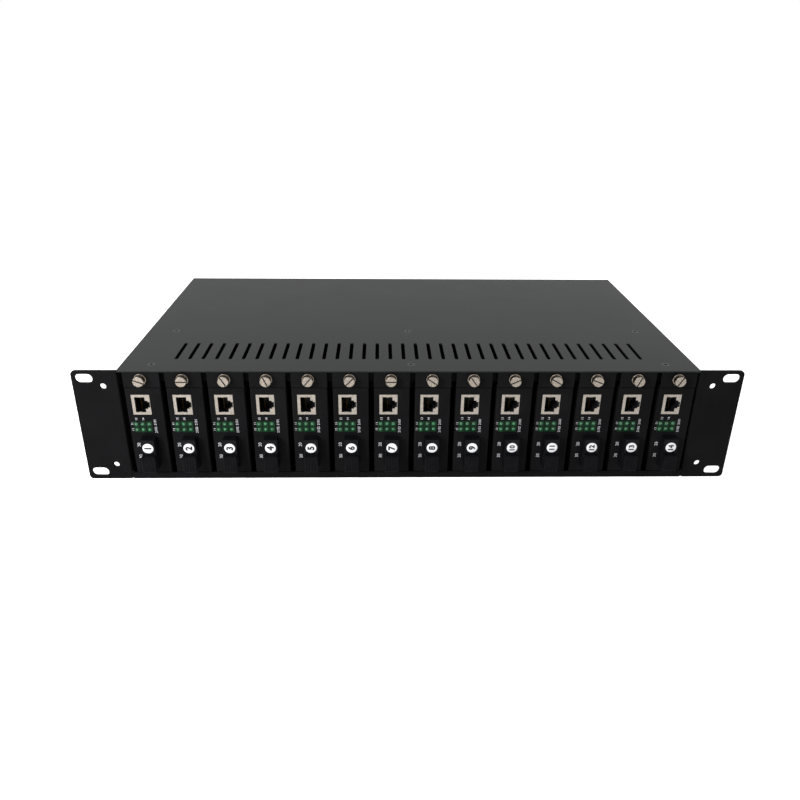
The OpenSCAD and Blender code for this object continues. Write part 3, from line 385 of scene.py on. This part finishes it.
# Inside each case: the green circuit board, the black nylon power jack at its back, and the small
# zinc-plated screws that hold them. Each is a welded copy of the first converter's.
fittings = (("board", solder_mask, "circuit_board"),
            ("power_jack", black_nylon, "socket_plastic"),
            ("screws", zinc, "zinc_steel"))
for part, finish, slot in fittings:
    mesh = welded("converter_01_" + part)
    for number in bays:
        obj = in_bay(mesh, number, f"converter_{number:02d}_{part}_set", finish, 0)
        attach(obj, f"converter_{number:02d}")
        if number == 1:
            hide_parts("converter_01_" + part)


# Data sockets: a bright nickel shield with a stepped mouth, a spring tongue folded in at the middle
# of its top and bottom edge, a black insert, and eight gold-plated contact wires along its left wall.
socket_height = 0.0559
shield_radius, insert_radius = 0.00025, 0.0001
tongue_x, tongue_z, tongue_sheet = -0.0032, 0.00595, 0.00025
contact_count, contact_step, contact_radius = 8, 0.00102, 0.00018
nickel = plated("bright_nickel", "#79736c", "#8f8880", 0.2, 0.0012)
gold = plated("gold_plate", "#3a2b12", "#4a391a", 0.35, 0.0008)


def contact_path(wall=-0.0066, front=0.002, turning=0.0095, back=0.0115, reach=0.0034, length=0.0085):
    """A contact's centre line in (x, y): straight back along the wall, round at the back, then forward and
    inward as a spring, with x = wall + reach (0.5 - 0.5 cos(pi u)) and y = back - length u."""
    u = np.linspace(0, 1, 9)
    spring = np.stack([wall + reach * (0.5 - 0.5 * np.cos(np.pi * u)), back - length * u, 0 * u], -1)
    return np.concatenate([[(wall, front, 0), (wall, turning, 0), (wall, back + 0.0002, 0)], spring])


def wire(path, radius, sides=6):
    """A round wire: at each point p of the path a ring p + r (cos t n + sin t b), where n and b are square
    to the path and to each other."""
    path = np.asarray(path, float)
    along = np.gradient(path, axis=0)
    along /= np.linalg.norm(along, axis=1)[:, None]
    b = np.cross(along, (0, 0, 1.0))
    b /= np.linalg.norm(b, axis=1)[:, None]
    n = np.cross(b, along)
    t = np.linspace(0, 2 * np.pi, sides, endpoint=False)[None, :, None]
    rings = path[:, None] + radius * (np.cos(t) * n[:, None] + np.sin(t) * b[:, None])
    ends = [list(range(sides))[::-1], list(range((len(path) - 1) * sides, len(path) * sides))]
    return rings, [*grid_faces(len(path), sides, wrap=True).tolist(), *ends]


def tongue(centre, lean, half_width=0.0012, crown=0.0016, gap=0.0001, length=0.003, dip=0.0003):
    """A spring tongue on a grid of x and u: y = gap + length u, and z = lean dip sin(pi (0.15 + 0.7 u))
    (1 - (x / crown)^2), so that it dips into the mouth and rises again."""
    x, u = np.meshgrid(np.linspace(-half_width, half_width, 7), np.linspace(0, 1, 9))
    z = lean * dip * np.sin(np.pi * (0.15 + 0.7 * u)) * (1 - (x / crown) ** 2)
    return np.stack([x, gap + length * u, z], -1) + centre, grid_faces(9, 7)


shield, insert = welded("converter_01_shield"), welded("converter_01_insert")
contact = contact_path()
contact_heights = [(k - (contact_count - 1) / 2) * contact_step for k in range(contact_count)]
for number in bays:
    body = f"converter_{number:02d}"
    centre = bay_start(number) + (0, 0, socket_height)
    metal = in_bay(shield, number, f"{body}_socket_shield", nickel, shield_radius)
    black = in_bay(insert, number, f"{body}_socket_insert", black_nylon, insert_radius)
    wires = piece(f"{body}_socket_contacts",
                  [wire(contact + centre + (0, 0, z), contact_radius) for z in contact_heights], gold)
    tongues = piece(f"{body}_socket_tongues",
                    [tongue(centre + (tongue_x, 0, side * tongue_z), -side) for side in (-1, 1)], nickel)
    wall = tongues.modifiers.new("sheet", "SOLIDIFY")
    wall.thickness, wall.offset = tongue_sheet, 0
    for obj, slot in ((metal, "nickel_shield"), (black, "socket_plastic"), (wires, "nickel_shield"),
                      (tongues, "nickel_shield")):
        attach(obj, body)
    if number == 1:
        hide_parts("converter_01_shield")
        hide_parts("converter_01_insert")


# Indicators: six unlit 3 mm diodes of clear green resin in three columns of two, in a white holder
# that stands on the board. Each has a square dark green flange, and its nose catches a point of light.
diode_radius, diode_back, dome_centre = 0.0015, 0.006, 0.0006
flange_reach, flange_proud, flange_flare = 0.0029, 0.0002, 1.04
first_column, column_step, first_row, row_step = 0.0012, 0.0047, 0.0358, 0.0045
holder_front = case_low.y + 0.00602
resin_cloud = 0.0012
# The resin's faint green emission is painted glow: it keeps the unlit diodes' green saturated.
resin, tree, place, shader = new_material("green_diode_resin_painted_glow", Roughness=0.16, Coat_Weight=0.6,
                                          Coat_Roughness=0.05, Emission_Color=linear("#0c8a3e"),
                                          Emission_Strength=0.04)
depth = add(tree, "ShaderNodeTexNoise", [("Vector", place)], Scale=1 / resin_cloud, Detail=1.0)
tone = add(tree, "ShaderNodeValToRGB", [("Fac", depth.outputs["Fac"])],
           stops=[(0.35, "#032f17"), (0.65, "#0a6234")])
tree.links.new(tone.outputs["Color"], shader.inputs["Base Color"])
dark_green = moulded("dark_green_resin", "#02180b", "#042a13", 0.4, 0.0006, 0.1)
white_nylon = moulded("white_nylon", "#d9d7cf", "#e6e4dd", 0.5, 0.0006)


def turned(profile, centre, sides=32):
    """A turned shape about an axis along Y: (r cos t, y, r sin t) for each (r, y) of the profile."""
    r, y = np.asarray(profile, float).T
    t = np.linspace(0, 2 * np.pi, sides, endpoint=False)
    rings = np.stack([r[:, None] * np.cos(t), np.repeat(y[:, None], sides, 1), r[:, None] * np.sin(t)], -1)
    return rings + np.asarray(centre), grid_faces(len(r), sides, wrap=True)


# the diode's profile: a dome with r = R sin t and y = dome_centre - R cos t, and a straight side
t = np.linspace(0.02, np.pi / 2, 8)
dome = np.stack([diode_radius * np.sin(t), dome_centre - diode_radius * np.cos(t)], -1)
diode = np.concatenate([[(0, dome_centre - diode_radius)], dome,
                        [(diode_radius, diode_back), (0, diode_back)]])
# the flange: a square whose corners are flange_reach from its middle, wider at its foot
t = np.radians([45, 135, 225, 315])
square = np.stack([flange_reach * np.cos(t), np.zeros(4), flange_reach * np.sin(t)], -1)
flange = np.concatenate([square - (0, flange_proud, 0), square * flange_flare])
flange_faces = [[0, 1, 2, 3], *grid_faces(2, 4, wrap=True).tolist()]
holder = welded("converter_01_leds", keep=lambda centre: centre.y > holder_front)
for number in bays:
    body = f"converter_{number:02d}"
    start = bay_start(number)
    spots = [start + (first_column - column_step * column, 0, first_row + row_step * row)
             for column in range(3) for row in range(2)]
    diodes = piece(f"{body}_diodes", [turned(diode, spot, 24) for spot in spots], resin, smooth=50)
    flanges = piece(f"{body}_diode_flanges", [(flange + spot, flange_faces) for spot in spots], dark_green)
    stand = in_bay(holder, number, f"{body}_diode_holder", white_nylon, 0)
    for obj in (diodes, flanges, stand):
        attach(obj, body)
    if number == 1:
        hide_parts("converter_01_leds")


# Optical modules: black moulded blocks through the faceplate, with a plug port in the lower half.
# Each port is closed by a soft black dust cap, a hollow plug with a ribbed grip.
module_front = case_low.y - 0.007
module_radius, clear_of_module = 0.00035, -0.00705
grip_x, grip_z, grip_corner, grip_front, grip_bend = 0.005, 0.00645, 0.00062, -0.0034, 0.0006
grip_height, plug_height = 0.01175, 0.0117
groove_width, groove_depth, grooves = 0.00028, 0.0003, (-0.003, -0.001, 0.001, 0.003)
module_plastic = moulded("black_module_plastic", "#09090b", "#0e0e11", 0.4, 0.0005, 0.05)
cap_rubber = moulded("black_cap_rubber", "#08080a", "#0d0d0f", 0.55, 0.0004, 0.03)


def outline(half_x, half_z, corner, steps=5):
    """A rounded rectangle: four quarter arcs about (half_x - corner, half_z - corner), going round once."""
    t = np.linspace(0, np.pi / 2, steps)[None, :] + np.arange(4)[:, None] * np.pi / 2
    sx, sz = np.array([1, -1, -1, 1])[:, None], np.array([1, 1, -1, -1])[:, None]
    x = sx * (half_x - corner) + corner * np.cos(t)
    z = sz * (half_z - corner) + corner * np.sin(t)
    return np.stack([x, z], -1).reshape(-1, 2)


def carried(rows):
    """Rounded rectangles carried along Y: rows of (half_x, half_z, corner, y), joined one to the next."""
    rings = [np.insert(outline(hx, hz, c), 1, y, axis=1) for hx, hz, c, y in rows]
    return np.stack(rings), grid_faces(len(rings), len(rings[0]), wrap=True)


def grip_face(half_x, half_z, y):
    """The ribbed front of the cap: y + depth exp(-((x - g) / width)^2), summed over the upright grooves g."""
    x, z = np.meshgrid(np.linspace(-half_x, half_x, 81), np.linspace(-half_z, half_z, 5))
    hollow = sum(np.exp(-((x - g) / groove_width) ** 2) for g in grooves)
    return np.stack([x, y + groove_depth * hollow, z], -1), grid_faces(5, 81)


# the grip's front edge bends in by R (1 - cos t) while it comes forward by R sin t
t = np.linspace(0, np.pi / 2, 5)
inward, behind = grip_bend * (1 - np.cos(t)), grip_bend * (1 - np.sin(t))
bent = [(grip_x - i, grip_z - i, grip_corner - i, grip_front + b) for i, b in zip(inward, behind)]
grip = carried([(0.0033, 0.0041, 0.0006, 0.0), (0.00485, 0.0063, 0.0005, 0.0),
                (grip_x, grip_z, grip_corner, -0.00015), *bent])
ribs = grip_face(grip_x - grip_bend, grip_z - grip_bend, grip_front)
# the plug is a tube: its bore from the front to the tip, then its outside from the tip to the front
plug = carried([(0.0021, 0.0029, 0.0004, 0.0002), (0.0021, 0.0029, 0.0004, 0.008),
                (0.0032, 0.004, 0.0006, 0.008), (0.0035, 0.0043, 0.0006, 0.0072),
                (0.0035, 0.0043, 0.0006, -0.00005)])
block = welded("converter_01_module", keep=lambda centre: centre.y > module_front - 0.00002)
for number in bays:
    body = f"converter_{number:02d}"
    module = in_bay(block, number, f"{body}_optical_module", module_plastic, module_radius)
    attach(module, body)
    seat = bay_start(number) + (0, clear_of_module, 0)
    cap_parts = [(points + seat + (0, 0, height), faces) for (points, faces), height in
                 ((grip, grip_height), (ribs, grip_height), (plug, plug_height))]
    cap = piece(f"{body}_port_cap", cap_parts, cap_rubber)
    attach(cap, "dust_cap_01" if number == 1 else body)
    if number == 1:
        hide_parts("converter_01_module")
        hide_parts("converter_01_dust_cap")


# Stickers and print: a round white paper disc on each module with the number of its bay, and small
# white screen-printed numbers beside the indicators and the port. All of them are plain numerals.
sticker_height, sticker_radius, sticker_thickness = 0.0238, 0.0039, 0.00015
digit_height, two_digit_height = 0.0052, 0.0042
sticker_weight, print_weight = 0.05, 0.004
fibre_size = 0.0004
# each printed mark's number, its height, its x and its height above the case's floor, in mm
marks = ((11, 1.7, -11.0, 40.6), (12, 1.7, -11.0, 36.0), (13, 1.7, -7.6, 44.6), (14, 1.7, -2.6, 44.6),
         (2101, 1.8, 5.6, 41.6), (2102, 1.8, 5.6, 35.6), (20, 2.4, -8.6, 23.1), (30, 2.4, -8.4, 13.3))
paper, tree, place, shader = new_material("white_sticker_paper", Roughness=0.45)
fibre = add(tree, "ShaderNodeTexNoise", [("Vector", place)], Scale=1 / fibre_size, Detail=2.0)
tone = add(tree, "ShaderNodeValToRGB", [("Fac", fibre.outputs["Fac"])],
           stops=[(0.3, "#c8c8cc"), (0.7, "#d2d2d5")])
tree.links.new(tone.outputs["Color"], shader.inputs["Base Color"])
ink_white = moulded("white_screen_ink", "#a2a2a6", "#b6b6ba", 0.5, 0.0004)
ink_black = moulded("black_sticker_ink", "#0c0c0d", "#151516", 0.5, 0.0004)


def numeral(text, weight):
    """The glyphs of a number in Blender's own font, as points (x, z) one unit high about their centre."""
    curve = bpy.data.curves.new("numeral", "FONT")
    curve.body, curve.offset, curve.resolution_u, curve.fill_mode = text, weight, 3, "FRONT"
    holder = bpy.data.objects.new("numeral", curve)
    show(holder)
    bpy.context.view_layer.update()
    mesh = bpy.data.meshes.new_from_object(holder.evaluated_get(bpy.context.evaluated_depsgraph_get()))
    points = np.zeros(len(mesh.vertices) * 3)
    mesh.vertices.foreach_get("co", points)
    points = points.reshape(-1, 3)[:, :2]
    faces = [list(face.vertices) for face in mesh.polygons]
    bpy.data.objects.remove(holder)
    bpy.data.meshes.remove(mesh)
    low, high = points.min(0), points.max(0)
    return (points - (low + high) / 2) / (high[1] - low[1]), faces


def printed(glyph, height, centre):
    """A glyph on the XZ plane, turned left by a quarter: (x, z) = centre + height (-v, u) for each (u, v)."""
    points, faces = glyph
    u, v = points.T
    return np.stack([-height * v, np.zeros(len(points)), height * u], -1) + centre, faces


disc = [(0, -sticker_thickness), (sticker_radius - 0.0001, -sticker_thickness),
        (sticker_radius, 0.00003 - sticker_thickness), (sticker_radius, 0.0), (0, 0.0)]
glyphs = {number: numeral(str(number), print_weight) for number, height, x, z in marks}
for number in bays:
    body = f"converter_{number:02d}"
    start = bay_start(number)
    spot = start + (0, clear_of_module, sticker_height)
    sticker = piece(f"{body}_sticker", [turned(disc, spot, 40)], paper)
    size = digit_height if number < 10 else two_digit_height
    above_paper = spot - (0, sticker_thickness + 0.00002, 0)
    figure = piece(f"{body}_sticker_number",
                   [printed(numeral(str(number), sticker_weight), size, above_paper)], ink_black)
    text = piece(f"{body}_printed_numbers",
                 [printed(glyphs[mark], height / 1000, start + (x / 1000, -0.00003, z / 1000))
                  for mark, height, x, z in marks], ink_white)
    for obj, slot in ((sticker, "module_plastic"), (figure, "module_plastic"), (text, "converter_case")):
        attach(obj, body)


# Top brackets: an L of folded steel on each case in the same black coat, with a dull nickel-plated
# ferrule pressed in for the thumbscrew.
bracket_x, bracket_foot, bracket_top = 0.013, 0.06905, 0.081
bracket_sheet, bracket_bend, bracket_depth = 0.0012, 0.001, 0.022
screw_x, screw_height = -0.0007, 0.0759
dull_nickel = plated("dull_nickel", "#857b6f", "#a0968a", 0.32, 0.0009)


def bracket_profile(arc=6):
    """The L's outline in (y, z): down the front, round the bend by R (1 + cos t, 1 + sin t) from the foot's
    underside, back along the foot and up behind the upright."""
    t = np.linspace(np.pi, 1.5 * np.pi, arc)
    bend = np.stack([bracket_bend + bracket_bend * np.cos(t),
                     bracket_foot + bracket_bend + bracket_bend * np.sin(t)], -1)
    inside = bracket_foot + bracket_sheet
    return np.concatenate([[(0, bracket_top)], bend,
                           [(bracket_depth, bracket_foot), (bracket_depth, inside), (bracket_sheet, inside),
                            (bracket_sheet, bracket_top)]])


profile = bracket_profile()
corners = len(profile)
x, k = np.meshgrid([-bracket_x, bracket_x], np.arange(corners), indexing="ij")
angle = np.stack([x, profile[k, 0], profile[k, 1]], -1)
ends = [list(range(corners)), list(range(corners, 2 * corners))[::-1]]
angle_faces = [*grid_faces(2, corners, wrap=True)[:, ::-1].tolist(), *ends]
ferrule = [(0.00205, 0.0012), (0.00205, -0.00105), (0.0022, -0.0011), (0.0041, -0.0011), (0.0043, -0.0009),
           (0.0043, -0.00005), (0.0028, -0.00005), (0.0028, 0.0012), (0.00205, 0.0012)]
for number in bays:
    body = f"converter_{number:02d}"
    start = bay_start(number)
    sheet = piece(f"{body}_top_bracket", [(angle + start, angle_faces)], face_coat)
    edge = sheet.modifiers.new("edge", "BEVEL")
    edge.width, edge.segments, edge.limit_method, edge.angle_limit = sheet_radius, 2, "ANGLE", np.radians(40)
    collar = piece(f"{body}_ferrule", [turned(ferrule, start + (screw_x, 0, screw_height), 40)], dull_nickel)
    for obj, slot in ((sheet, "converter_case"), (collar, "nickel_screw")):
        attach(obj, body)
    if number == 1:
        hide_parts("converter_01_bracket")


# Thumbscrews: turned brass, nickel plated, with a knurled rim, an M3 thread and a saw-cut slot, whose floor
# carries a dark sheet of painted shade. Each stands at the turn, in degrees, at which it was left.
left_at = np.radians([20, 0, 60, 65, -50, -45, 0, 35, 55, -25, 30, 20, -65, -60])
head_radius, face_radius, head_front, head_back = 0.00395, 0.0036, -0.0053, -0.0015
half_slot, slot_floor, knurl_depth = 0.00045, -0.0041, 0.00016
thread_radius, thread_pitch, thread_depth = 0.0015, 0.0005, 0.0002
thread_start, thread_end = 0.0011, 0.010
screw_nickel = plated("warm_nickel", "#655e56", "#958c82", 0.28, 0.0009)


def slotted_head(radius, face, front, back, half_slot, floor, knurl):
    """The head as rings about Y, each a row of (r, y, cut). In every quarter two columns stand at the
    slot's edge, where sin t = half_slot / r. Inside the slot y is the deeper of the ring's own and the
    floor. The rim is at r - cut (0.5 - 0.5 cos(48 t)). The front's two halves are joined straight across."""
    shoulder = front + radius - face
    rows = [(face, front, 0), (radius, shoulder, 0)]
    rows += [(radius, y, knurl) for y in np.linspace(shoulder + 0.0001, back - 0.0006, 5)]
    rows += [(radius, back - 0.0004, 0), (radius - 0.0003, back, 0), (0.002, back, 0)]
    r, y, cut = np.array(rows).T[:, :, None]
    edge = np.arcsin(half_slot / r)
    q = np.hstack([0 * r, edge, edge, 0 * r + np.linspace(0.2, np.pi / 2, 19)])
    t = np.hstack([q, np.pi - q[:, -2::-1], np.pi + q[:, 1:], 2 * np.pi - q[:, -2:0:-1]])
    deep = np.arange(q.shape[1]) < 2
    inside = np.hstack([deep, deep[-2::-1], deep[1:], deep[-2:0:-1]])
    rim = r - cut * (0.5 - 0.5 * np.cos(48 * t))
    rings = np.stack([rim * np.cos(t), np.where(inside, np.maximum(y, floor), y), rim * np.sin(t)], -1)
    sides = t.shape[1]
    a = np.arange(sides)
    b, across = (a + 1) % sides, (sides // 2 - a) % sides
    upper = np.stack([a, b, across[b], across], -1)[:sides // 4 - 1]
    lower = np.stack([across, across[b], b, a], -1)[sides - sides // 4 + 1:]
    faces = np.concatenate([grid_faces(len(rows), sides, wrap=True), upper, lower])
    return rings.reshape(-1, 3), faces


def thread(radius, start, end, pitch_length, depth, columns=24, per_turn=8):
    """An M3 thread: r(t, y) = radius - depth |2 frac(y / pitch - t / 2 pi) - 1|, faded out at the tip."""
    fade_length, fade_depth = 0.0006, 0.0004
    y = np.linspace(start, end, int((end - start) / pitch_length * per_turn) + 1)[:, None]
    t = np.linspace(0, 2 * np.pi, columns, endpoint=False)[None, :]
    wave = np.abs(2 * np.mod(y / pitch_length - t / (2 * np.pi), 1) - 1)
    r = radius - depth * wave - fade_depth * np.clip((y - end + fade_length) / fade_length, 0, 1)
    tip = list(range((len(y) - 1) * columns, len(y) * columns))
    rings = np.stack([r * np.cos(t), np.broadcast_to(y, r.shape), r * np.sin(t)], -1)
    return rings.reshape(-1, 3), [*grid_faces(len(y), columns, wrap=True).tolist(), tip]


head = slotted_head(head_radius, face_radius, head_front, head_back, half_slot, slot_floor, knurl_depth)
neck = turned([(0.002, -0.0016), (0.002, 0.0011), (0.0019, 0.0012), (0.00148, 0.0012)], (0, 0, 0), 24)
shank = thread(thread_radius, thread_start, thread_end, thread_pitch, thread_depth)
# the painted shade in the slot: a flat dark sheet just above its floor and just inside its walls, where shade
# falls
x, z = np.meshgrid([-face_radius, face_radius], [0.00001 - half_slot, half_slot - 0.00001])
slot_shade_strip = np.stack([x, np.full((2, 2), slot_floor - 0.00002), z], -1).reshape(-1, 3)
slot_shade_faces = [[0, 1, 3, 2]]
for number in bays:
    name = f"thumbscrew_{number:02d}"
    c, s = np.cos(left_at[number - 1]), np.sin(left_at[number - 1])
    turn = np.array([[c, 0, s], [0, 1, 0], [-s, 0, c]])
    axis = bay_start(number) + (screw_x, 0, screw_height)
    screw = piece(f"{name}_turned", [(points.reshape(-1, 3) @ turn.T + axis, faces)
                                     for points, faces in (head, neck, shank)], screw_nickel, smooth=30)
    slot_shade_sheet = piece(f"{name}_painted_slot_shade", [(slot_shade_strip @ turn.T + axis, slot_shade_faces)], black_zinc_and_painted_shade)
    for obj in (screw, slot_shade_sheet):
        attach(obj, name)
    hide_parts(name)
